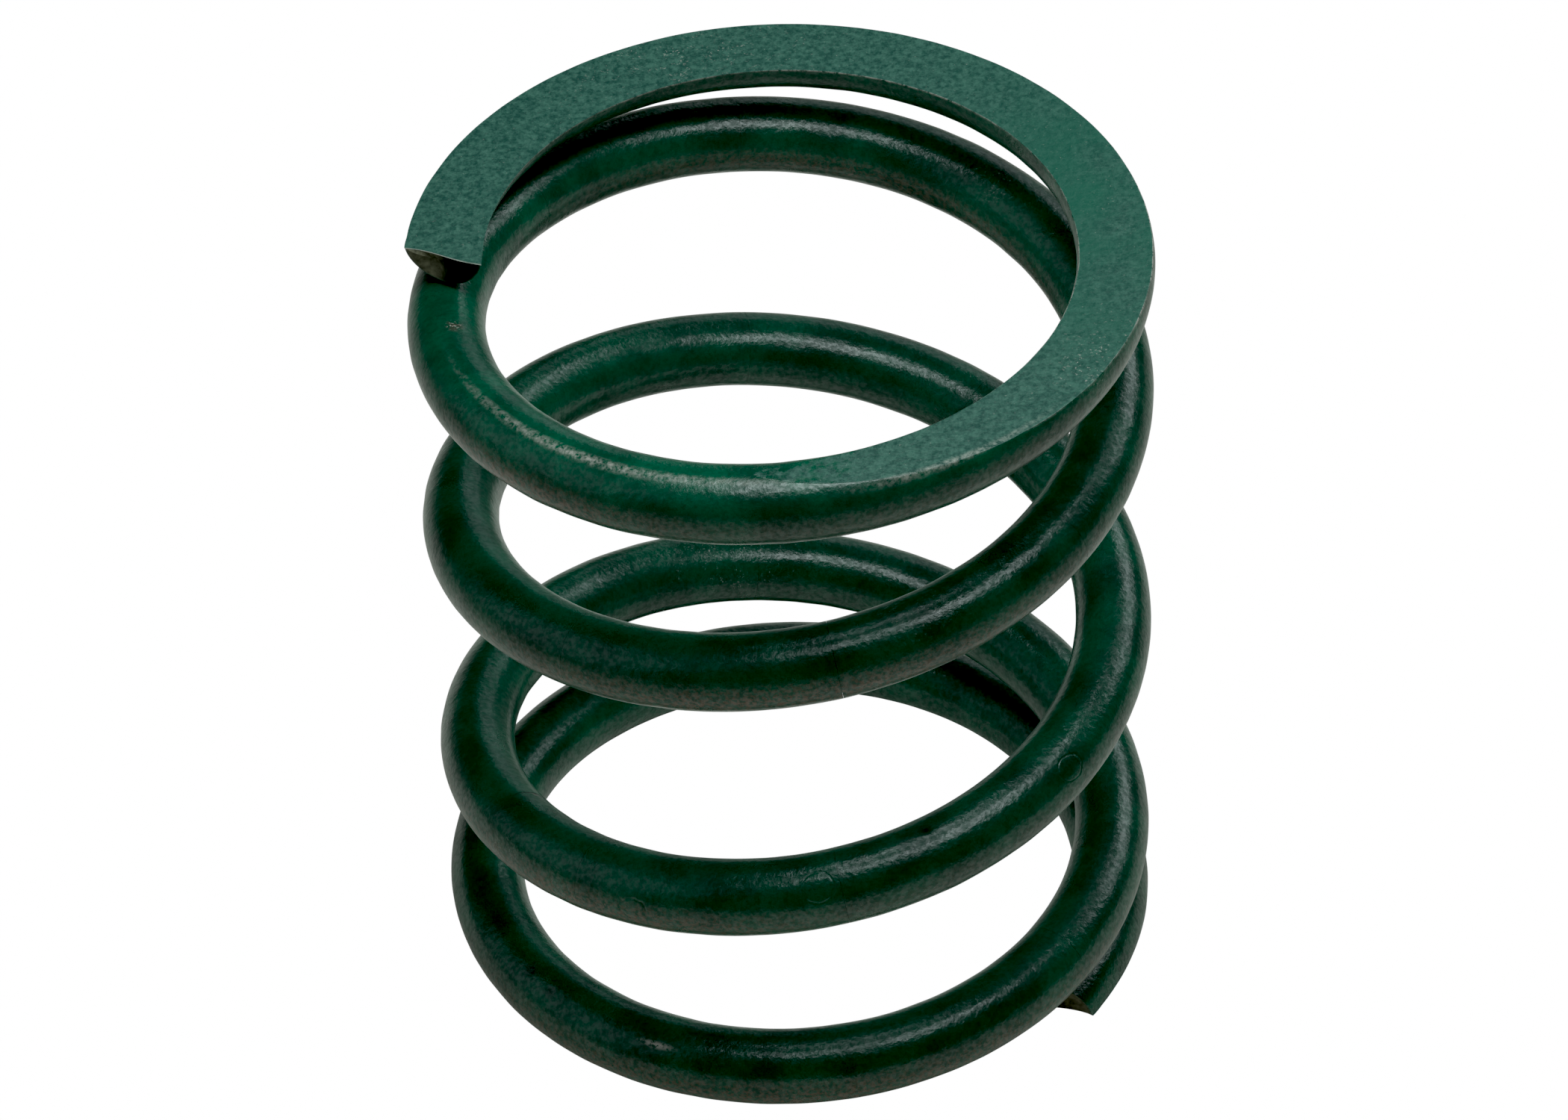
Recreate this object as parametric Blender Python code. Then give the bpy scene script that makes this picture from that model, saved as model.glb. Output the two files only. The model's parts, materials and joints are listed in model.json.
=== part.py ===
"""Helical compression spring of round steel wire, right-hand wound, with closed and ground ends.

The spring is one length of wire. Under load the wire twists about its own centreline and the coils close up, while
the round section stays round. It is built as the two end coils, which stay rigid, and the active arcs between them.
Neighbours meet face to face on a plane square to the wire, and each turns against the last about the direction that
the wire has there. An arc is named by its coil, counted from the bottom, and by the side of the spring it lies on.

Metres, +Z up along the coil's axis, with the origin at the centre of the bottom seat.
"""

import math

import bmesh
import bpy
from mathutils import Vector

# Driving dimensions, in metres.
INSIDE_DIAMETER = 0.060
WIRE_DIAMETER = 0.008
TIP_THICKNESS = 0.0032  # what the grinding leaves of the wire at its two tips

# How far the wire climbs in a turn.
BOTTOM_PITCH = 0.0079
ACTIVE_PITCH = 0.0315
LEAD_IN_PITCH = 0.0153
TOP_PITCH = 0.0042

# Places along the wire, in turns from its bottom tip.
TOTAL_TURNS = 4.6
BOTTOM_OPENING = (0.73, 1.49)  # where the bottom pitch opens out to the active one
TOP_CLOSING = (3.04, 3.48)  # where it closes to the lead-in pitch
TOP_LEVELLING = (3.90, 4.07)  # and that to the top one
FIRST_CUT = 1.0  # end of the bottom end coil
ARCS = 21
ARCS_PER_TURN = 8

BOTTOM_TIP_ANGLE = math.radians(-38)  # where the bottom tip lies, anticlockwise from +X seen from above
CUT_SKEW = math.radians(20)  # from square, of the sheared face at a tip: the inner side reaches further

FACE_GAP = 0.0003  # between the faces of neighbouring pieces
SQUARE_STEP = 0.0005  # a short step along the wire at a cut, so that the face there is square to it
STEPS_PER_TURN = 48
BEVEL_RESOLUTION = 4  # gives the wire 12 sides
CUTTER_SIDE = 0.120

SIDES = ("right", "back_right", "back", "back_left", "left", "front_left", "front", "front_right")

GREEN_PAINT = (0.020, 0.085, 0.060, 1.0)

WIRE_RADIUS = WIRE_DIAMETER / 2
COIL_RADIUS = (INSIDE_DIAMETER + WIRE_DIAMETER) / 2
LAST_CUT = FIRST_CUT + ARCS / ARCS_PER_TURN


def eased_climb(turns, start, end):
    """Integral, from 0 to turns, of a smooth step that rises from 0 at start to 1 at end."""
    x = min(max((turns - start) / (end - start), 0), 1)
    return (end - start) * (x**3 - x**4 / 2) + max(turns - end, 0)


def climb(turns):
    """How far the wire's centreline has climbed from its bottom tip."""
    return (
        BOTTOM_PITCH * turns
        + (ACTIVE_PITCH - BOTTOM_PITCH) * eased_climb(turns, *BOTTOM_OPENING)
        + (LEAD_IN_PITCH - ACTIVE_PITCH) * eased_climb(turns, *TOP_CLOSING)
        + (TOP_PITCH - LEAD_IN_PITCH) * eased_climb(turns, *TOP_LEVELLING)
    )


# The bottom seat is the plane z = 0, and a tip's thickness is measured from it to the far side of the wire.
FIRST_HEIGHT = TIP_THICKNESS - WIRE_RADIUS
FREE_LENGTH = FIRST_HEIGHT + climb(TOTAL_TURNS) - WIRE_RADIUS + TIP_THICKNESS


def wire_point(turns):
    """A point of the wire's centreline."""
    angle = BOTTOM_TIP_ANGLE + math.tau * turns
    return Vector((COIL_RADIUS * math.cos(angle), COIL_RADIUS * math.sin(angle), FIRST_HEIGHT + climb(turns)))


def clear_scene():
    for obj in list(bpy.data.objects):
        bpy.data.objects.remove(obj, do_unlink=True)


def new_collection(name):
    collection = bpy.data.collections.new(name)
    bpy.context.scene.collection.children.link(collection)
    return collection


def green_paint():
    """Dark green paint on steel, semi-gloss."""
    material = bpy.data.materials.new("green_paint")
    material.use_nodes = True
    shader = material.node_tree.nodes["Principled BSDF"]
    shader.inputs["Base Color"].default_value = GREEN_PAINT
    shader.inputs["Roughness"].default_value = 0.42
    shader.inputs["Metallic"].default_value = 0.0
    return material


def points_along(start, end):
    """Centreline points of one piece of wire, with a short step at each cut but not at a tip."""
    square = SQUARE_STEP / (math.tau * COIL_RADIUS)
    steps = max(2, round((end - start) * STEPS_PER_TURN))
    places = [start + (end - start) * i / steps for i in range(steps + 1)]
    if start > 0:
        places.insert(1, start + square)
    if end < TOTAL_TURNS:
        places.insert(-1, end - square)
    return [wire_point(turns) for turns in places]


def wire_piece(name, start, end, origin, collection, material):
    """Round wire from start to end, in turns, as a bevelled curve whose object sits at origin."""
    curve = bpy.data.curves.new(name, "CURVE")
    curve.dimensions = "3D"
    curve.twist_mode = "Z_UP"
    curve.bevel_depth = WIRE_RADIUS
    curve.bevel_resolution = BEVEL_RESOLUTION
    curve.use_fill_caps = True
    points = points_along(start, end)
    spline = curve.splines.new("POLY")
    spline.points.add(len(points) - 1)
    for spline_point, point in zip(spline.points, points):
        spline_point.co = (*(point - origin), 1)
    spline.use_smooth = True
    curve.materials.append(material)
    piece = bpy.data.objects.new(name, curve)
    piece.location = origin
    collection.objects.link(piece)
    return piece


def as_mesh(piece):
    """The same piece as a mesh with its caps welded on, ready for a Boolean."""
    bpy.context.view_layer.update()
    name, collection = piece.name, piece.users_collection[0]
    evaluated = piece.evaluated_get(bpy.context.evaluated_depsgraph_get())
    mesh = bpy.data.meshes.new_from_object(evaluated)
    welded = bmesh.new()
    welded.from_mesh(mesh)
    bmesh.ops.remove_doubles(welded, verts=welded.verts, dist=1e-6)
    bmesh.ops.recalc_face_normals(welded, faces=welded.faces)
    welded.to_mesh(mesh)
    welded.free()
    solid = bpy.data.objects.new(name + "_solid", mesh)
    solid.matrix_world = piece.matrix_world
    collection.objects.link(solid)
    bpy.data.objects.remove(piece, do_unlink=True)
    solid.name = name
    mesh.shade_smooth()
    mesh.set_sharp_from_angle(angle=math.radians(40))
    return solid


def skew_tip(coil, tip, before):
    """Slants the face at a tip of the wire. Both places are in turns, and before lies inside the wire."""
    centre = wire_point(tip)
    along = (centre - wire_point(before)).normalized()
    outward = Vector((centre.x, centre.y, 0)).normalized()
    for vertex in coil.data.vertices:
        offset = coil.matrix_world @ vertex.co - centre
        if offset.length < 1.01 * WIRE_RADIUS and abs(offset.dot(along)) < SQUARE_STEP:
            vertex.co -= along * math.tan(CUT_SKEW) * offset.dot(outward)


def grind_flat(coil, seat_height, outward, cutters):
    """Cuts off everything past the seat plane. outward is 1 for the top seat and -1 for the bottom one."""
    mesh = bpy.data.meshes.new(coil.name + "_grinding")
    block = bmesh.new()
    bmesh.ops.create_cube(block, size=CUTTER_SIDE)
    block.to_mesh(mesh)
    block.free()
    cutter = bpy.data.objects.new(coil.name + "_grinding", mesh)
    cutter.location = (0, 0, seat_height + outward * CUTTER_SIDE / 2)
    cutter.hide_render = True
    cutter.display_type = "WIRE"
    cutters.objects.link(cutter)
    grinding = coil.modifiers.new("ground_seat", "BOOLEAN")
    grinding.operation = "DIFFERENCE"
    grinding.solver = "EXACT"
    grinding.object = cutter


def bottom_end_coil(parts, cutters, material):
    end = FIRST_CUT - FACE_GAP / 2 / (math.tau * COIL_RADIUS)
    coil = as_mesh(wire_piece("bottom_end_coil", 0, end, Vector(), parts, material))
    skew_tip(coil, 0, 1 / STEPS_PER_TURN)
    grind_flat(coil, 0, -1, cutters)
    return coil


def active_arcs(parts, material):
    """The arcs between the end coils, each with its origin where it turns against the piece below."""
    half_gap = FACE_GAP / 2 / (math.tau * COIL_RADIUS)
    arcs = []
    for i in range(ARCS):
        start = FIRST_CUT + i / ARCS_PER_TURN
        end = start + 1 / ARCS_PER_TURN
        name = f"coil_{2 + i // ARCS_PER_TURN}_{SIDES[i % ARCS_PER_TURN]}"
        arcs.append(wire_piece(name, start + half_gap, end - half_gap, wire_point(start), parts, material))
    return arcs


def top_end_coil(parts, cutters, material):
    start = LAST_CUT + FACE_GAP / 2 / (math.tau * COIL_RADIUS)
    coil = as_mesh(wire_piece("top_end_coil", start, TOTAL_TURNS, wire_point(LAST_CUT), parts, material))
    skew_tip(coil, TOTAL_TURNS, TOTAL_TURNS - 1 / STEPS_PER_TURN)
    grind_flat(coil, FREE_LENGTH, 1, cutters)
    return coil


def hang_on_each_other(pieces):
    """Parents each piece to the one below it, since the one below carries it."""
    bpy.context.view_layer.update()
    for below, above in zip(pieces, pieces[1:]):
        above.parent = below
        above.matrix_parent_inverse = below.matrix_world.inverted()


def main():
    clear_scene()
    parts = new_collection("coil_spring")
    cutters = new_collection("cutters")
    paint = green_paint()
    bottom = bottom_end_coil(parts, cutters, paint)
    arcs = active_arcs(parts, paint)
    top = top_end_coil(parts, cutters, paint)
    hang_on_each_other([bottom, *arcs, top])


main()
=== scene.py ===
"""Looks of the coil spring: finely meshed wire in place of each CAD node, its paint and wear, and the studio.

Metres, +Z up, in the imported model's frame. A place along the wire is given in turns from its bottom tip, and
a place round it as an angle from its top towards the outside of the coil. Both are stored on each mesh, and the
material reads them, so that paint and wear run on from piece to piece.
"""

import json
import math

import bpy
import numpy as np
from mathutils import Matrix, Vector

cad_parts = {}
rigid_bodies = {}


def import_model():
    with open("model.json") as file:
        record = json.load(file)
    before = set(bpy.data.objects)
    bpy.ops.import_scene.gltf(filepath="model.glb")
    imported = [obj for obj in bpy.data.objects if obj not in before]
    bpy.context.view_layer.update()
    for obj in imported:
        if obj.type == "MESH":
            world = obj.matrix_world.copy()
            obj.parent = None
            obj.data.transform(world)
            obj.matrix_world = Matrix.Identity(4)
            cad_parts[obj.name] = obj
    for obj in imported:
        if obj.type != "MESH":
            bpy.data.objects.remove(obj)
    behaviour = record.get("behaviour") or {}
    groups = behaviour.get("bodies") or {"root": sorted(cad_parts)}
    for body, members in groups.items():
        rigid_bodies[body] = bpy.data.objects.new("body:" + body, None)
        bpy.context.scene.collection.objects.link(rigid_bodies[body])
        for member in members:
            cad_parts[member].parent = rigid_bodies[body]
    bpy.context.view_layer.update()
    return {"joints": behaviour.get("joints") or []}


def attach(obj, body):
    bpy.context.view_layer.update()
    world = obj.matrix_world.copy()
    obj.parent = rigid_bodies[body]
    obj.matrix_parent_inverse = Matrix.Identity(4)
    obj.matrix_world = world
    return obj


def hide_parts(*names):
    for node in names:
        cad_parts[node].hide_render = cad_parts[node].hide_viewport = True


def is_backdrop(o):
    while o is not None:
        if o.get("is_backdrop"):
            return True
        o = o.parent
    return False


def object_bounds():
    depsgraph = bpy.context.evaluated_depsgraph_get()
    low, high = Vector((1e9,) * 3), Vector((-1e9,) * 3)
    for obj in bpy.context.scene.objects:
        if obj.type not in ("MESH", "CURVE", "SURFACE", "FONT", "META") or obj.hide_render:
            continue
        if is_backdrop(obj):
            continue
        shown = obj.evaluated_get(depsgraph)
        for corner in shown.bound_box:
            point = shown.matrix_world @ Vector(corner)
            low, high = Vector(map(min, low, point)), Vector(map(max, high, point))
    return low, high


# The wire, as the CAD model has it.
WIRE_RADIUS = 0.004
COIL_RADIUS = 0.034
TOTAL_TURNS = 4.6
TIP_THICKNESS = 0.0032
BOTTOM_PITCH = 0.0079
ACTIVE_PITCH = 0.0315
LEAD_IN_PITCH = 0.0153
TOP_PITCH = 0.0042
BOTTOM_OPENING = (0.73, 1.49)
TOP_CLOSING = (3.04, 3.48)
TOP_LEVELLING = (3.90, 4.07)
BOTTOM_TIP_ANGLE = math.radians(-38)
CUT_SKEW = math.radians(20)
FIRST_CUT = 1.0
ARCS_PER_TURN = 8

# Fineness of the visible mesh.
STEP = 0.00030
AROUND_CAP = 44
AROUND_SIDE = 100
FACE_RINGS = 14
LEAST_CAP = math.radians(20)
LEAST_STEPS = 8
GROUND_EDGE_ROUND = 0.00007
SHARP_EDGE = math.radians(50)
NEIGHBOUR_GAP = 0.00002  # between the end faces of neighbouring pieces

# Unevenness of the painted wire, in metres. It only takes away, so that the wire stays inside the CAD's box.
UNEVEN_WAVES = 40
UNEVEN_LENGTHS = (0.0022, 0.0090)
UNEVEN_HEIGHT = 0.000011
MOST_UNEVEN = 0.000033
LEAST_TAKEN = 0.000004
SEED = 7

# The sheared faces at the two tips. They are hollow and torn, and their edge is wavy.
TIP_WAVE = 0.00018
TORN_DEPTH = 0.00045
TORN_WAVES = 14
TORN_LENGTHS = (0.0016, 0.0050)
TORN_SHARE = 0.35
HOLLOW_SHARE = 0.6
BOTTOM_TIP_SEED = 3
TOP_TIP_SEED = 5

# Studio. A box is its azimuth and elevation in degrees, its distance and size in metres, and its radiance.
LIT_POINT = Vector((0, -0.02, 0.05))
COOL = (0.90, 1.0, 1.0)
TOP_BOX = (0, 84, 0.300, (0.18, 0.21), 6.4)
RIGHT_BOX = (40, 35, 1.5, (1.00, 0.50), 3.4)
BACK_SHEET = (76, 17, 1.25, (0.60, 0.60), 0.6)
LEFT_SHEET = (185, 30, 1.20, (1.3, 1.1), 0.5)
SWEEP_SIZE = 8
SWEEP_DROP = 0.0002  # how far the floor lies below the bottom seat
SWEEP_GREY = (0.88, 0.84, 0.77, 1)
SWEEP_GLOW = 0.10
BLACK_LEVEL = 0.013

# ---------------------------------------------------------------- the wire's shape


def eased_climb(turns, start, end):
    """Integral, from 0 to turns, of a smooth step that rises from 0 at start to 1 at end."""
    x = np.clip((turns - start) / (end - start), 0, 1)
    return (end - start) * (x**3 - x**4 / 2) + np.maximum(turns - end, 0)


def centre_height(turns):
    """Height of the wire's centreline above the bottom seat."""
    climb = (
        BOTTOM_PITCH * turns
        + (ACTIVE_PITCH - BOTTOM_PITCH) * eased_climb(turns, *BOTTOM_OPENING)
        + (LEAD_IN_PITCH - ACTIVE_PITCH) * eased_climb(turns, *TOP_CLOSING)
        + (TOP_PITCH - LEAD_IN_PITCH) * eased_climb(turns, *TOP_LEVELLING)
    )
    return TIP_THICKNESS - WIRE_RADIUS + climb


def centreline(turns):
    angle = BOTTOM_TIP_ANGLE + math.tau * turns
    return np.stack(
        [COIL_RADIUS * np.cos(angle), COIL_RADIUS * np.sin(angle), centre_height(turns)], -1
    )


def section_axes(turns):
    """Unit vectors at each place along the wire: outwards from the coil's axis, upwards and along the wire.

    Upwards is square to the other two.
    """
    nudge = 1e-5
    along = centreline(turns + nudge) - centreline(turns - nudge)
    along /= np.linalg.norm(along, axis=-1, keepdims=True)
    angle = BOTTOM_TIP_ANGLE + math.tau * turns
    outward = np.stack([np.cos(angle), np.sin(angle), 0 * angle], -1)
    return outward, np.cross(outward, along), along


def unevenness(points):
    """A smooth random height over space, the same for every piece, for paint that isn't perfectly even.

    It is always below zero.
    """
    random = np.random.default_rng(SEED)
    total = np.zeros(points.shape[:-1])
    for _ in range(UNEVEN_WAVES):
        direction = random.normal(size=3)
        length = random.uniform(*UNEVEN_LENGTHS)
        wave = math.tau / length * direction / np.linalg.norm(direction)
        total += np.sin(points @ wave + random.uniform(0, math.tau))
    height = total * UNEVEN_HEIGHT / math.sqrt(UNEVEN_WAVES / 2)
    return np.clip(height, -MOST_UNEVEN, MOST_UNEVEN) - MOST_UNEVEN - LEAST_TAKEN


def ring_angles(cap):
    """Angles round the section from the middle of the ground flat, crowded together at the flat's edges.

    cap is half the angle that the flat takes up at each ring.
    """
    cap = np.maximum(cap, LEAST_CAP)[:, None]
    over = np.sin(np.linspace(-1, 1, AROUND_CAP + 1) * math.pi / 2)[None, :-1]
    down = 1 - np.cos(np.linspace(0, 1, AROUND_SIDE // 2 + 1) * math.pi / 2)[None, :]
    side = cap + (math.pi - cap) * down
    return np.concatenate([cap * over, side[:, :-1], math.tau - side[:, :0:-1]], axis=1)


def wire_rings(turns, seat, outward_sign):
    """Points of the rings at these places, and what the materials need to know of each point.

    seat is the height of the plane that this piece is ground to, or None. outward_sign is 1 where material
    above it is gone and -1 where material below it is.
    """
    out, up, along = section_axes(turns)
    middle = centreline(turns)
    if seat is None:
        even = np.linspace(0, math.tau, AROUND_CAP + AROUND_SIDE, endpoint=False)
        angles = np.tile(even, (len(turns), 1))
        cap = np.zeros(len(turns))
    else:
        depth = outward_sign * (seat - middle[:, 2])
        cap = np.arccos(np.clip(depth / WIRE_RADIUS, -1, 1))
        pole = 0 if outward_sign > 0 else math.pi
        angles = pole + ring_angles(cap)
    direction = (
        np.cos(angles)[..., None] * up[:, None] + np.sin(angles)[..., None] * out[:, None]
    )
    points = middle[:, None] + WIRE_RADIUS * direction
    points += unevenness(points)[..., None] * direction
    ground = np.zeros(angles.shape)
    rim = np.ones(angles.shape)
    if seat is not None:
        past = outward_sign * (points[..., 2] - seat)
        ground = (past > 0).astype(float)
        rounded = (past - np.sqrt(past**2 + GROUND_EDGE_ROUND**2)) / 2
        from_edge = np.abs((angles - pole + math.pi) % math.tau - math.pi) - cap[:, None]
        rim = np.where(cap[:, None] > 0, from_edge * WIRE_RADIUS, 1.0)
        points[..., 2] = seat + outward_sign * rounded
    return points, {
        "turns": np.broadcast_to(turns[:, None], angles.shape),
        "around": (angles + math.pi) % math.tau - math.pi,
        "ground": ground,
        "rim": rim,
    }


# ---------------------------------------------------------------- the sheared tips


def skewed_tip(points, data, turns):
    """Slants the last 3 mm of wire at a tip, so that the face there isn't square to the wire.

    Points move level, so that a ground flat stays in its seat's plane.
    """
    tip_is_first = turns[0] == 0
    tip = turns[0] if tip_is_first else turns[-1]
    out, _, along = section_axes(np.array([tip]))
    level = along[0] * (1, 1, 0)
    middle = centreline(np.array([tip]))[0]
    sign = -1 if tip_is_first else 1
    reach = 2 * WIRE_RADIUS * math.tan(CUT_SKEW)
    from_tip = np.abs(data["turns"] - tip) * math.tau * COIL_RADIUS
    share = np.clip(1 - from_tip / reach, 0, 1)
    offset = (points - middle) @ out[0]
    offset = np.clip(offset, -WIRE_RADIUS, WIRE_RADIUS)
    shift = math.tan(CUT_SKEW) * offset + TIP_WAVE * np.sin(math.pi * offset / WIRE_RADIUS)
    return points - sign * (share * shift)[..., None] * level


def end_face(ring, along, seed=None):
    """What closes an end: rings from its edge inwards, and its centre. A sheared face has a seed."""
    centre = ring.mean(axis=0)
    if seed is None:
        return [], centre
    random = np.random.default_rng(seed)
    waves = [
        (random.normal(size=3), random.uniform(*TORN_LENGTHS), random.uniform(0, math.tau))
        for _ in range(TORN_WAVES)
    ]
    rings = []
    for k in range(1, FACE_RINGS):
        inward = k / FACE_RINGS
        points = ring + (centre - ring) * inward
        torn = sum(
            np.sin(points @ (math.tau / length * d / np.linalg.norm(d)) + phase) for d, length, phase in waves
        )
        height = TORN_SHARE * torn / math.sqrt(TORN_WAVES / 2) - HOLLOW_SHARE
        lift = TORN_DEPTH * math.sin(inward * math.pi / 2) * height
        rings.append(points + lift[:, None] * along)
    return rings, centre - HOLLOW_SHARE * TORN_DEPTH * along


# ---------------------------------------------------------------- meshes


def mesh_of(name, points, data, first_face, last_face):
    """A closed mesh from rings of points. The two faces are as end_face gives them."""
    count, around = points.shape[:2]
    verts = [points.reshape(-1, 3)]
    extra = {key: [value.reshape(-1)] for key, value in data.items()}
    extra["face"] = [np.zeros(count * around)]
    quads = [quads_between(k * around, (k + 1) * around, around) for k in range(count - 1)]
    triangles = []
    total = count * around
    for (rings, centre), edge, flip in ((first_face, 0, True), (last_face, count - 1, False)):
        previous = edge * around
        for ring in rings:
            verts.append(ring)
            quads.append(turned(quads_between(previous, total, around), flip))
            previous = total
            total += around
        verts.append(centre[None])
        step = np.arange(around)
        fan = np.stack([previous + step, previous + (step + 1) % around, np.full(around, total)], -1)
        triangles.append(turned(fan, flip))
        total += 1
        added = len(rings) * around + 1
        for key in data:
            extra[key].append(np.full(added, data[key][edge].mean() if key == "turns" else 0.0))
        extra["rim"][-1][:] = 1.0
        extra["face"].append(np.ones(added))
    verts, quads, triangles = (np.concatenate(rows) for rows in (verts, quads, triangles))
    return write_mesh(name, verts, quads, triangles, extra)


def quads_between(low, high, around):
    step = np.arange(around)
    after = (step + 1) % around
    return np.stack([low + step, low + after, high + after, high + step], -1)


def turned(faces, flip):
    return faces[:, ::-1] if flip else faces


def write_mesh(name, verts, quads, triangles, attributes):
    mesh = bpy.data.meshes.new(name)
    corners = np.concatenate([quads.reshape(-1), triangles.reshape(-1)]).astype(np.int32)
    sizes = np.concatenate([np.full(len(quads), 4), np.full(len(triangles), 3)])
    starts = np.concatenate([[0], np.cumsum(sizes)[:-1]]).astype(np.int32)
    mesh.vertices.add(len(verts))
    mesh.vertices.foreach_set("co", verts.astype(np.float32).reshape(-1))
    mesh.loops.add(len(corners))
    mesh.loops.foreach_set("vertex_index", corners)
    mesh.polygons.add(len(sizes))
    mesh.polygons.foreach_set("loop_start", starts)
    mesh.update(calc_edges=True)
    mesh.validate()
    for key, values in attributes.items():
        layer = mesh.attributes.new(key, "FLOAT", "POINT")
        layer.data.foreach_set("value", np.concatenate(values).astype(np.float32))
    mesh.shade_smooth()
    mesh.set_sharp_from_angle(angle=SHARP_EDGE)
    return mesh


def wire_piece(name, start, end, seat, outward_sign):
    """The wire from start to end, in turns, as an object. seat and outward_sign are as in wire_rings."""
    at_bottom, at_top = start == 0, end == TOTAL_TURNS
    steps = max(LEAST_STEPS, round((end - start) * math.tau * COIL_RADIUS / STEP))
    short = NEIGHBOUR_GAP / 2 / (math.tau * COIL_RADIUS)
    turns = np.linspace(start if at_bottom else start + short, end if at_top else end - short, steps + 1)
    points, data = wire_rings(turns, seat, outward_sign)
    if at_bottom or at_top:
        points = skewed_tip(points, data, turns)
    _, _, along = section_axes(turns)
    first = end_face(points[0], -along[0], BOTTOM_TIP_SEED if at_bottom else None)
    last = end_face(points[-1], along[-1], TOP_TIP_SEED if at_top else None)
    piece = bpy.data.objects.new(name, mesh_of(name, points, data, first, last))
    bpy.context.scene.collection.objects.link(piece)
    return piece


# ---------------------------------------------------------------- materials


class Nodes:
    """Short names for adding shader nodes to one material."""

    def __init__(self, name):
        self.material = bpy.data.materials.new(name)
        self.material.use_nodes = True
        self.tree = self.material.node_tree
        self.shader = self.tree.nodes["Principled BSDF"]

    def add(self, kind, **settings):
        node = self.tree.nodes.new("ShaderNode" + kind)
        for key, value in settings.items():
            setattr(node, key, value)
        return node

    def put(self, value, socket):
        """Links a socket, or sets a number or colour."""
        if isinstance(value, bpy.types.NodeSocket):
            self.tree.links.new(value, socket)
        else:
            socket.default_value = value

    def attribute(self, name):
        return self.add("Attribute", attribute_name=name).outputs["Fac"]

    def math(self, operation, a, b=0.0):
        node = self.add("Math", operation=operation)
        self.put(a, node.inputs[0])
        self.put(b, node.inputs[1])
        return node.outputs[0]

    def position(self):
        return self.add("TexCoord").outputs["Object"]

    def noise(self, scale, detail, roughness=0.5):
        node = self.add("TexNoise")
        node.inputs["Scale"].default_value = scale
        node.inputs["Detail"].default_value = detail
        node.inputs["Roughness"].default_value = roughness
        self.put(self.position(), node.inputs["Vector"])
        return node.outputs["Fac"]

    def from_axis(self):
        """Distance from the coil's axis."""
        level = self.add("VectorMath", operation="MULTIPLY")
        self.put(self.position(), level.inputs[0])
        level.inputs[1].default_value = (1, 1, 0)
        length = self.add("VectorMath", operation="LENGTH")
        self.put(level.outputs["Vector"], length.inputs[0])
        return length.outputs["Value"]

    def ramp(self, value, low, high):
        """0 at low, 1 at high, straight between them. low may be the larger."""
        node = self.add("MapRange")
        self.put(value, node.inputs["Value"])
        node.inputs["From Min"].default_value = low
        node.inputs["From Max"].default_value = high
        return node.outputs["Result"]

    def bell(self, value, middle, width):
        """1 at middle, falling to 0 at a distance of width, smooth."""
        away = self.math("ABSOLUTE", self.math("SUBTRACT", value, middle))
        node = self.add("MapRange", interpolation_type="SMOOTHSTEP")
        self.put(away, node.inputs["Value"])
        node.inputs["From Min"].default_value = width
        node.inputs["From Max"].default_value = 0.0
        return node.outputs["Result"]

    def times(self, *values):
        product = values[0]
        for value in values[1:]:
            product = self.math("MULTIPLY", product, value)
        return product

    def largest(self, values):
        most = values[0]
        for value in values[1:]:
            most = self.math("MAXIMUM", most, value)
        return most

    def mix(self, share, a, b):
        """Between two colours."""
        node = self.add("Mix", data_type="RGBA")
        self.put(share, node.inputs["Factor"])
        self.put(a, node.inputs[6])
        self.put(b, node.inputs[7])
        return node.outputs[2]

    def blend(self, share, a, b):
        """Between two numbers."""
        node = self.add("Mix", data_type="FLOAT")
        self.put(share, node.inputs["Factor"])
        self.put(a, node.inputs[2])
        self.put(b, node.inputs[3])
        return node.outputs[0]


DEEP_GREEN = (0.0012, 0.050, 0.028, 1)
PEBBLE_DARK = (0.0008, 0.022, 0.013, 1)
FRESH_GREEN = (0.0020, 0.084, 0.045, 1)
GROUND_GREEN = (0.003, 0.050, 0.036, 1)
GROUND_DULL = (0.042, 0.126, 0.094, 1)
GROUND_FRESH = (0.001, 0.105, 0.060, 1)
# Brown of thin paint, which also paints the floor's warm reflection on the lower flanks.
THIN_BROWN_AND_REFLECTION = (0.110, 0.080, 0.050, 1)
SCAR_BROWN = (0.075, 0.050, 0.040, 1)
SHEARED = (0.300, 0.290, 0.200, 1)
# Near black, for a tip face's grain and for the painted shade over its inner side.
SHEARED_SHADE_AND_GRAIN = (0.003, 0.004, 0.003, 1)
PIT_BLACK = (0.0010, 0.004, 0.003, 1)
# Light grey of bare and chalky paint, which also paints glints and the top coil's highlight.
BARE_AND_GLINT_GREY = (0.42, 0.40, 0.36, 1)

SIDE_ROUGHNESS = (0.26, 0.34)
FLAT_ROUGHNESS = 0.58
BARE_AND_GLINT_ROUGHNESS = 0.5
FACE_ROUGHNESS = 0.7
SIDE_GLOSS = (0.34, 0.72)
FLAT_GLOSS = 0.5
FACE_GLOSS = 0.15

# Noises: scale, detail and, where it isn't 0.5, roughness.
PATCHES = (170, 3)
PEBBLES = (1900, 3, 0.65)
MOTTLES = (1700, 3, 0.65)
FRESH_PATCHES = (90, 2)
RAGS = (900, 3)
BROWN_FLECKS = (2300, 3, 0.65)
BROWN_CLUSTERS = (420, 2)
SPECKS = (3800, 2, 0.6)
FLECKS = (1700, 3, 0.7)
CLUSTERS = (500, 2)
CHIPPED_RUNS = (150, 3, 0.6)
SCAR_FLECKS = (1300, 3)
# The ragged edge of the painted shade on a tip's face.
SHEARED_SHADE_EDGE = (700, 3)
SHEARED_GRAIN = (2000, 3)
SHEEN_PATCHES = (230, 3)
FINE_GRAIN = (1800, 2, 0.6)
COARSE_GRAIN = (800, 2)
SWELL = (260, 1)
WOBBLE = (700, 2)
CREASE_BENDS = (330, 2)

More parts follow.
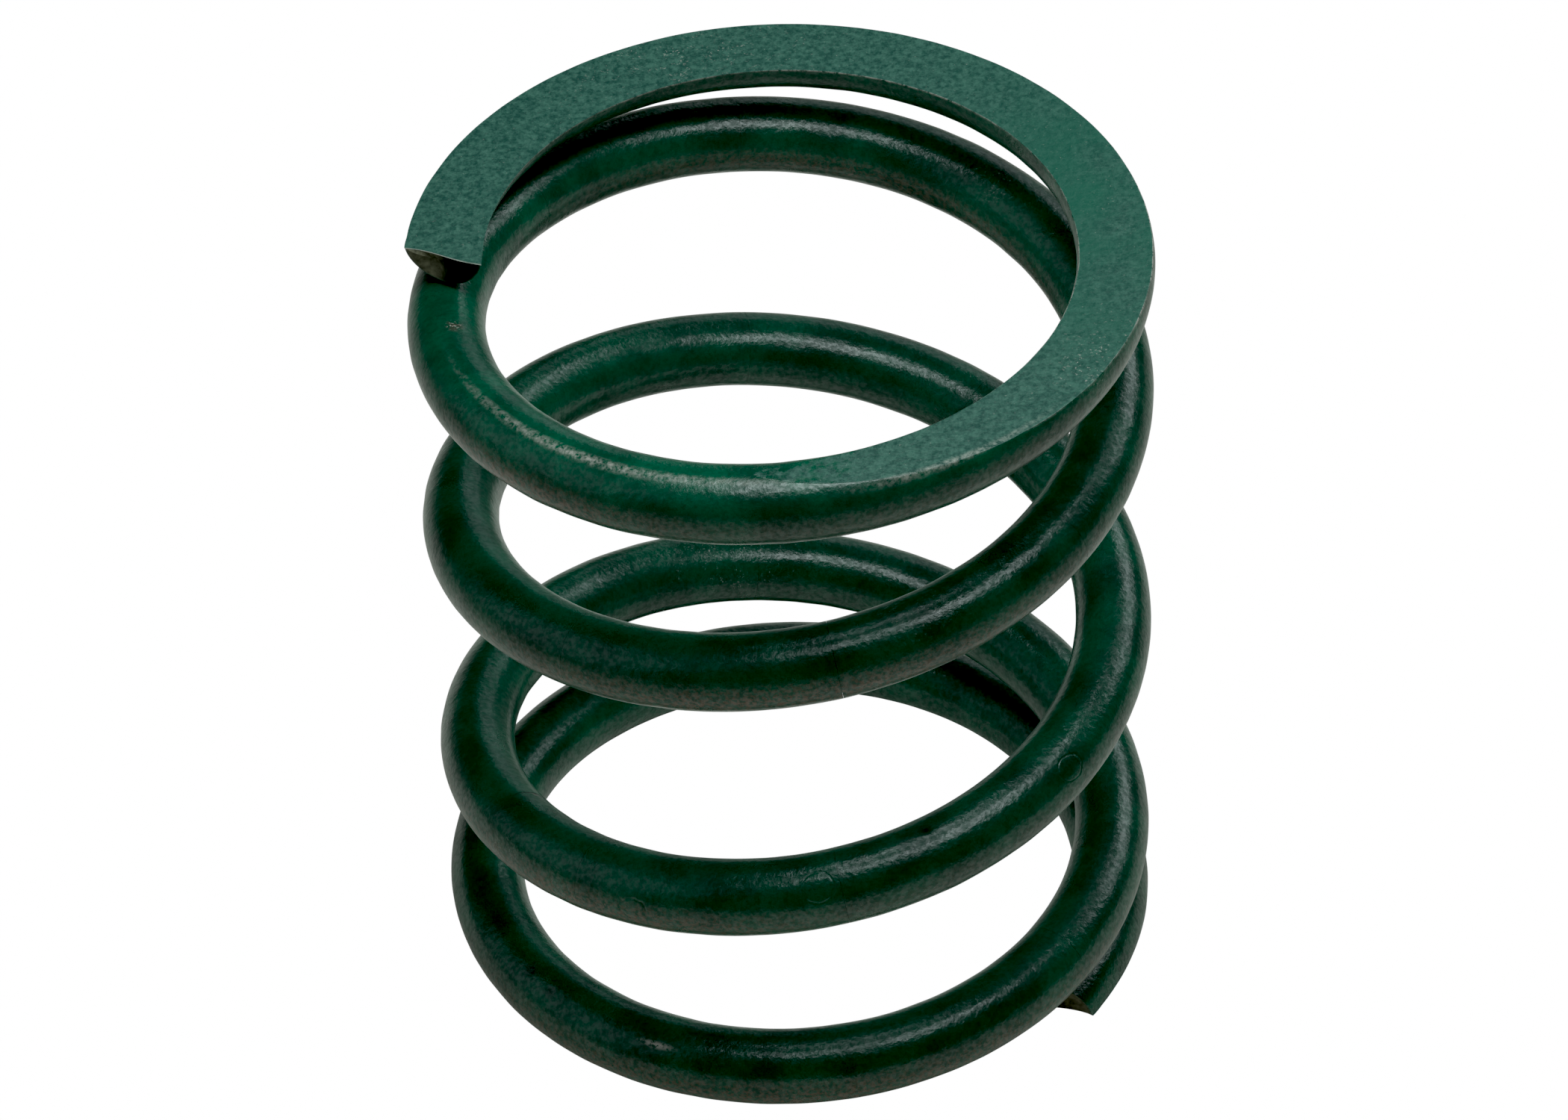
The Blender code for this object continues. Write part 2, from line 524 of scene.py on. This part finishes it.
# Heights and depths of the relief, in metres.
FINE_HEIGHT = (0.000048, 0.000095)  # on the side and on the ground flats
COARSE_HEIGHT = (0.000030, 0.000120)  # in general and on the wavy part of the upper flat
SWELL_HEIGHT = 0.000035
RING_DEPTH = 0.000035
PIT_DEPTH = 0.00007
CREASE_DEPTH = 0.00006

# Stretches of the wire, in turns: from and to.
FEATHER = (3.86, 4.02)  # where the grinding starts to bite at the top, and where it has taken the whole flat
FEATHER_END = 4.06  # past this the flat is whole
WORN_RIMS = (3.95, 4.06)
WORN_INNER_RIM = (4.38, 4.50)

# Stretches of the wire, in turns: the middle and half-length.
FRESH_FLAT = (4.13, 0.16)
WAVY_FLAT = (4.14, 0.14)
# On these stretches of the front coils, the brown flecks also paint the floor's warm reflection.
REFLECTING_BROWN_FLANKS = ((0.83, 0.30), (2.84, 0.22), (3.74, 0.10), (1.75, 0.16))
BROWN_INSIDE = (3.3, 0.3)

# Marks on the paint: turns along the wire, degrees round it from its top towards the outside, and a radius.
SCAR = (3.635, -8, 0.0012)
# Chalky wear on the top coil's crest, painted light grey, which also stands for its highlight.
CREST_WEAR_AND_HIGHLIGHT = (3.76, 16, 0.0009)
FEATHER_WEAR = (3.93, 45, 0.0009)
# Painted glints: bare metal flecks in the front coil's highlight, in light grey.
GLINTS = (0.785, 36, 0.00055)
PITS = ((0.705, 25, 0.0010), (0.722, 31, 0.0010), (1.92, 0, 0.0010))
RINGS = ((1.865, 42, 0.0016), (1.995, 50, 0.0014), (1.78, 82, 0.0013))
SMOOTH_PATCH = (1.60, -18, 0.0040)
# Light grey specks of chalky paint, also painted glints where the highlights sparkle.
GLINTING_SPECKS = ((2.91, 6, 0.0050), (3.23, -18, 0.0040), (1.39, -35, 0.0080), (4.40, 10, 0.012), (4.02, 30, 0.006))
CREASE = (1.69, -32, 0.0034)
LINE_WIDTH = 0.00022  # of a ring or a crease


class Place:
    """Where a shaded point is on the wire."""

    def __init__(self, n):
        self.turns = n.attribute("turns")
        self.around = n.attribute("around")
        self.ground = n.attribute("ground")
        self.rim = n.attribute("rim")
        self.along = n.math("MULTIPLY", self.turns, math.tau * COIL_RADIUS)
        self.round_it = n.math("MULTIPLY", self.around, WIRE_RADIUS)


def distance_to(n, at, mark, stretch=1.0):
    """Distance over the surface to a mark, with lengths along the wire divided by stretch."""
    dx = n.math("SUBTRACT", at.along, mark[0] * math.tau * COIL_RADIUS)
    dy = n.math("SUBTRACT", at.round_it, math.radians(mark[1]) * WIRE_RADIUS)
    square = n.math(
        "ADD",
        n.math("POWER", n.math("DIVIDE", n.math("ABSOLUTE", dx), stretch), 2.0),
        n.math("POWER", n.math("ABSOLUTE", dy), 2.0),
    )
    return n.math("SQRT", square)


def spot(n, at, mark, stretch=1.0, swell=1.0):
    """1 at the middle of a mark, falling to 0 at its radius times swell."""
    return n.bell(distance_to(n, at, mark, stretch), 0.0, mark[2] * swell)


def full_flat(n, at):
    """1 on the ground flats. The upper one starts raggedly, where the grinding only just bites."""
    bitten = n.times(n.ramp(at.turns, *FEATHER), n.ramp(at.rim, 0.0001, -0.0004))
    ragged = n.ramp(n.math("ADD", bitten, n.noise(*RAGS)), 0.42, 0.62)
    upper = n.math("GREATER_THAN", at.turns, TOTAL_TURNS / 2)
    feathered = n.times(upper, n.math("LESS_THAN", at.turns, FEATHER_END))
    return n.times(at.ground, n.blend(feathered, 1.0, ragged))


def paint_colour(n, at, on_flat):
    """Dark bottle green, a little fresher in patches, and duller and paler where the wire is ground flat."""
    side = n.mix(n.ramp(n.noise(*PATCHES), 0.38, 0.62), DEEP_GREEN, FRESH_GREEN)
    side = n.mix(n.times(n.ramp(n.noise(*PEBBLES), 0.55, 0.38), 0.3), side, PEBBLE_DARK)
    mottled = n.ramp(n.noise(*MOTTLES), 0.36, 0.66)
    fresher = n.times(n.bell(at.turns, *FRESH_FLAT), n.ramp(n.noise(*FRESH_PATCHES), 0.35, 0.6))
    flat = n.mix(n.blend(fresher, mottled, n.times(mottled, 0.35)), GROUND_GREEN, GROUND_DULL)
    flat = n.mix(n.times(fresher, 0.55), flat, GROUND_FRESH)
    return n.mix(on_flat, side, flat)


def thin_paint_and_floor_reflection(n, at):
    """How much brown shows through thin paint, in fine flecks, which also paint the floor's warm reflection: on
    the outer lower flank, most on the front coils, and inside coil 4.
    """
    strips = n.largest([n.bell(at.turns, *stretch) for stretch in REFLECTING_BROWN_FLANKS])
    outer = n.bell(at.around, math.radians(104), math.radians(52))
    outer = n.times(outer, n.math("ADD", n.times(strips, 0.75), 0.25))
    inner = n.bell(at.around, math.radians(-100), math.radians(40))
    inner = n.times(inner, n.bell(at.turns, *BROWN_INSIDE), 0.7)
    flecks = n.ramp(n.noise(*BROWN_FLECKS), 0.44, 0.60)
    clustered = n.ramp(n.math("ADD", flecks, n.noise(*BROWN_CLUSTERS)), 0.55, 1.35)
    not_ground = n.math("SUBTRACT", 1.0, at.ground)
    return n.times(n.math("MAXIMUM", outer, inner), clustered, not_ground)


def worn_rims(n, at, flecks, clusters):
    """The upper flat's rims, chipped in short runs, the last of its inner rim, and its edge at the tip."""
    chips = n.times(n.ramp(n.noise(*CHIPPED_RUNS), 0.40, 0.54), n.ramp(flecks, 0.36, 0.54))
    rims = n.times(n.bell(at.rim, -0.00002, 0.00028), chips, n.ramp(at.turns, *WORN_RIMS), 0.9)
    inside = n.times(n.ramp(at.around, 0.0, -0.1), n.ramp(at.turns, *WORN_INNER_RIM))
    inner_rim = n.times(n.bell(at.rim, -0.00003, 0.00032), inside, n.ramp(flecks, 0.40, 0.50), 0.9)
    tip_edge = n.times(at.ground, n.bell(at.turns, TOTAL_TURNS, 0.0009), n.ramp(clusters, 0.30, 0.5), 0.8)
    return n.largest([rims, inner_rim, tip_edge])


def bare_and_glinting_spots(n, at):
    """Where the paint is gone or chalky, and where light grey paints glints and a highlight: rims, the crest
    before the upper flat, and small flecks.
    """
    specks, flecks, clusters = n.noise(*SPECKS), n.noise(*FLECKS), n.noise(*CLUSTERS)
    feather = n.times(spot(n, at, FEATHER_WEAR, 16.0), 0.8)
    # The crest's chalky wear also paints its highlight.
    worn_crest_and_highlight = n.math("MAXIMUM", spot(n, at, CREST_WEAR_AND_HIGHLIGHT, 30.0), feather)
    worn_crest_and_highlight = n.times(worn_crest_and_highlight, n.ramp(flecks, 0.38, 0.70), 0.9)
    glints = n.times(spot(n, at, GLINTS, 5.0), n.ramp(flecks, 0.42, 0.52))
    # Light grey specks, also painted glints.
    glinting_specks = n.largest([spot(n, at, mark, 1.6) for mark in GLINTING_SPECKS])
    glinting_specks = n.times(glinting_specks, n.ramp(specks, 0.60, 0.70), n.ramp(clusters, 0.45, 0.6), 0.7)
    dust = n.times(at.ground, n.ramp(specks, 0.69, 0.76), 0.35)
    scar = n.times(spot(n, at, SCAR), n.ramp(specks, 0.56, 0.63), 0.8)
    return n.largest([worn_rims(n, at, flecks, clusters), worn_crest_and_highlight, glints, glinting_specks, dust, scar])


def crease(n, at):
    """A thin crack that runs part of the way round the wire."""
    bend = n.times(n.math("SUBTRACT", n.noise(*CREASE_BENDS), 0.5), 0.0030)
    along = n.math("ADD", at.along, bend)
    line = n.bell(along, CREASE[0] * math.tau * COIL_RADIUS, LINE_WIDTH)
    return n.times(line, n.bell(at.round_it, math.radians(CREASE[1]) * WIRE_RADIUS, CREASE[2]))


def relief(n, at):
    """The paint's fine pebbling over a slower swell, and the dents in it, as a normal."""
    wavy = n.times(n.bell(at.turns, *WAVY_FLAT), at.ground)
    fine = n.times(n.noise(*FINE_GRAIN), n.blend(at.ground, *FINE_HEIGHT))
    coarse = n.times(n.noise(*COARSE_GRAIN), n.blend(wavy, *COARSE_HEIGHT))
    height = n.math("ADD", n.math("ADD", fine, coarse), n.times(n.noise(*SWELL), SWELL_HEIGHT))
    wobble = n.times(n.math("SUBTRACT", n.noise(*WOBBLE), 0.5), 0.0007)
    for mark in RINGS:
        away = n.math("ADD", distance_to(n, at, mark), wobble)
        height = n.math("SUBTRACT", height, n.times(n.bell(away, mark[2], LINE_WIDTH), RING_DEPTH))
    for mark in PITS:
        away = n.math("ADD", distance_to(n, at, mark), wobble)
        height = n.math("SUBTRACT", height, n.times(n.bell(away, 0.0, mark[2]), PIT_DEPTH))
    height = n.math("SUBTRACT", height, n.times(crease(n, at), CREASE_DEPTH))
    bump = n.add("Bump")
    bump.inputs["Strength"].default_value = 1.0
    bump.inputs["Distance"].default_value = 1.0
    n.put(height, bump.inputs["Height"])
    return bump.outputs["Normal"]


def sheared_colour_with_shade(n):
    """Of a tip's face: painted shade on its inner side, and grained grey brown on its outer one."""
    ragged = n.math("ADD", n.from_axis(), n.times(n.noise(*SHEARED_SHADE_EDGE), 0.002))
    grained = n.mix(n.noise(*SHEARED_GRAIN), SHEARED_SHADE_AND_GRAIN, SHEARED)
    return n.mix(n.ramp(ragged, 0.0344, 0.0360), SHEARED_SHADE_AND_GRAIN, grained)


def marked_colour(n, at, on_flat):
    """The paint's colour with its thin places, which also paint the floor's warm reflection, its smooth patch,
    its pits and crease, and the scar.
    """
    # Brown flecks of thin paint, which also paint the floor's warm reflection.
    colour = n.mix(thin_paint_and_floor_reflection(n, at), paint_colour(n, at, on_flat), THIN_BROWN_AND_REFLECTION)
    colour = n.mix(n.times(spot(n, at, SMOOTH_PATCH, 1.4), 0.5), colour, DEEP_GREEN)
    pits = n.times(n.largest([spot(n, at, mark, swell=1.1) for mark in PITS]), 0.6)
    dark = n.math("MAXIMUM", pits, n.times(crease(n, at), 0.9))
    colour = n.mix(dark, colour, PIT_BLACK)
    scar = n.times(spot(n, at, SCAR, swell=1.25), n.ramp(n.noise(*SCAR_FLECKS), 0.38, 0.55), 0.8)
    return n.mix(scar, colour, SCAR_BROWN)


def paint():
    """Dark green semi-gloss paint over shot-peened wire, matter on the ground flats, worn at its edges."""
    n = Nodes("green_paint")
    at = Place(n)
    face = n.attribute("face")
    on_flat = full_flat(n, at)
    bare_and_glints = bare_and_glinting_spots(n, at)

    # Light grey paints the bare and chalky spots, and with them glints and a highlight.
    colour = n.mix(bare_and_glints, marked_colour(n, at, on_flat), BARE_AND_GLINT_GREY)
    # A tip's face has painted shade over its inner side.
    n.put(n.mix(n.times(face, 0.95), colour, sheared_colour_with_shade(n)), n.shader.inputs["Base Color"])

    rough = n.blend(n.ramp(n.noise(*SHEEN_PATCHES), 0.3, 0.7), *SIDE_ROUGHNESS)
    rough = n.blend(bare_and_glints, n.blend(on_flat, rough, FLAT_ROUGHNESS), BARE_AND_GLINT_ROUGHNESS)
    n.put(n.blend(face, rough, FACE_ROUGHNESS), n.shader.inputs["Roughness"])

    gloss = n.blend(n.ramp(n.noise(*FINE_GRAIN), 0.40, 0.62), *SIDE_GLOSS)
    gloss = n.blend(face, n.blend(on_flat, gloss, FLAT_GLOSS), FACE_GLOSS)
    n.put(gloss, n.shader.inputs["Specular IOR Level"])
    n.put(relief(n, at), n.shader.inputs["Normal"])
    return n.material


# ---------------------------------------------------------------- studio


def white_sweep():
    """A floor that the camera sees as pure white, and the spring as a warm white sheet under the lights."""
    bpy.ops.mesh.primitive_plane_add(size=SWEEP_SIZE, location=(0, 0, -SWEEP_DROP))
    sweep = bpy.context.object
    sweep.name = "floor"
    n = Nodes("white_sweep")
    n.shader.inputs["Base Color"].default_value = SWEEP_GREY
    n.shader.inputs["Roughness"].default_value = 0.9
    n.shader.inputs["Emission Color"].default_value = SWEEP_GREY
    n.shader.inputs["Emission Strength"].default_value = SWEEP_GLOW
    n.shader.inputs["Specular IOR Level"].default_value = 0.1
    white = n.add("Emission")
    seen = n.add("LightPath").outputs["Is Camera Ray"]
    both = n.add("MixShader")
    n.put(seen, both.inputs[0])
    n.put(n.shader.outputs["BSDF"], both.inputs[1])
    n.put(white.outputs[0], both.inputs[2])
    n.put(both.outputs[0], n.tree.nodes["Material Output"].inputs["Surface"])
    sweep.data.materials.append(n.material)
    sweep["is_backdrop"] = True


def softbox(name, azimuth, elevation, distance, size, radiance):
    """A rectangular light that faces the spring. Azimuth is from +X towards +Y, elevation up from level."""
    light = bpy.data.lights.new(name, "AREA")
    light.shape = "RECTANGLE"
    light.size, light.size_y = size
    light.energy = radiance * math.pi * size[0] * size[1]
    light.color = COOL
    lamp = bpy.data.objects.new(name, light)
    a, e = math.radians(azimuth), math.radians(elevation)
    towards = Vector((math.cos(a) * math.cos(e), math.sin(a) * math.cos(e), math.sin(e)))
    lamp.location = LIT_POINT + distance * towards
    lamp.rotation_euler = towards.to_track_quat("Z", "Y").to_euler()
    lamp.visible_camera = False
    bpy.context.scene.collection.objects.link(lamp)


def studio():
    """A white sweep and four soft lights, in a room that is dark except to the camera."""
    white_sweep()
    world = bpy.data.worlds.new("studio")
    world.use_nodes = True
    n = world.node_tree
    sky = n.nodes["Background"]
    sky.inputs["Color"].default_value = (1, 1, 1, 1)
    seen = n.nodes.new("ShaderNodeLightPath").outputs["Is Camera Ray"]
    n.links.new(seen, sky.inputs["Strength"])
    bpy.context.scene.world = world
    softbox("top_box", *TOP_BOX)
    softbox("right_box", *RIGHT_BOX)
    softbox("back_sheet", *BACK_SHEET)
    softbox("left_sheet", *LEFT_SHEET)


def photographic_contrast():
    """Plain display colours, with shadows that drop to black a little early."""
    view = bpy.context.scene.view_settings
    view.view_transform = "Standard"
    view.use_curve_mapping = True
    view.curve_mapping.black_level = (BLACK_LEVEL, BLACK_LEVEL, BLACK_LEVEL)
    view.curve_mapping.update()


def camera():
    """A long lens from the front, well above the spring."""
    elevation = math.radians(41.70)
    roll = math.radians(-2.00)
    distance = 0.73202
    target = Vector((-0.0005655, 0, 0.046998))
    view = bpy.data.cameras.new("camera")
    view.sensor_width = 36
    view.lens = 160.20
    view.clip_start = 0.01
    eye = bpy.data.objects.new("camera", view)
    back = Vector((0, -math.cos(elevation), math.sin(elevation)))
    right = Vector((1, 0, 0))
    up = back.cross(right)
    rolled_right = math.cos(roll) * right + math.sin(roll) * up
    rolled_up = math.cos(roll) * up - math.sin(roll) * right
    turned_eye = Matrix((rolled_right, rolled_up, back)).transposed().to_4x4()
    eye.matrix_world = Matrix.Translation(target + distance * back) @ turned_eye
    bpy.context.scene.collection.objects.link(eye)
    bpy.context.scene.camera = eye


# ---------------------------------------------------------------- the spring


def spring(frame):
    """One finely meshed piece for each CAD node, riding on the body of the same name."""
    green = paint()
    joints = frame["joints"]
    bodies = [joints[0]["parent"], *(joint["child"] for joint in joints)]
    cuts = [0.0, *(FIRST_CUT + i / ARCS_PER_TURN for i in range(len(joints))), TOTAL_TURNS]
    top = float(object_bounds()[1][2])
    seats = [(0.0, -1), *[(None, 0)] * (len(bodies) - 2), (top, 1)]
    for body, start, end, seat in zip(bodies, cuts, cuts[1:], seats):
        piece = wire_piece(body + "_wire", start, end, *seat)
        piece.data.materials.append(green)
        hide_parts(body)
        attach(piece, body)


def main():
    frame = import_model()
    photographic_contrast()
    camera()
    studio()
    spring(frame)


main()
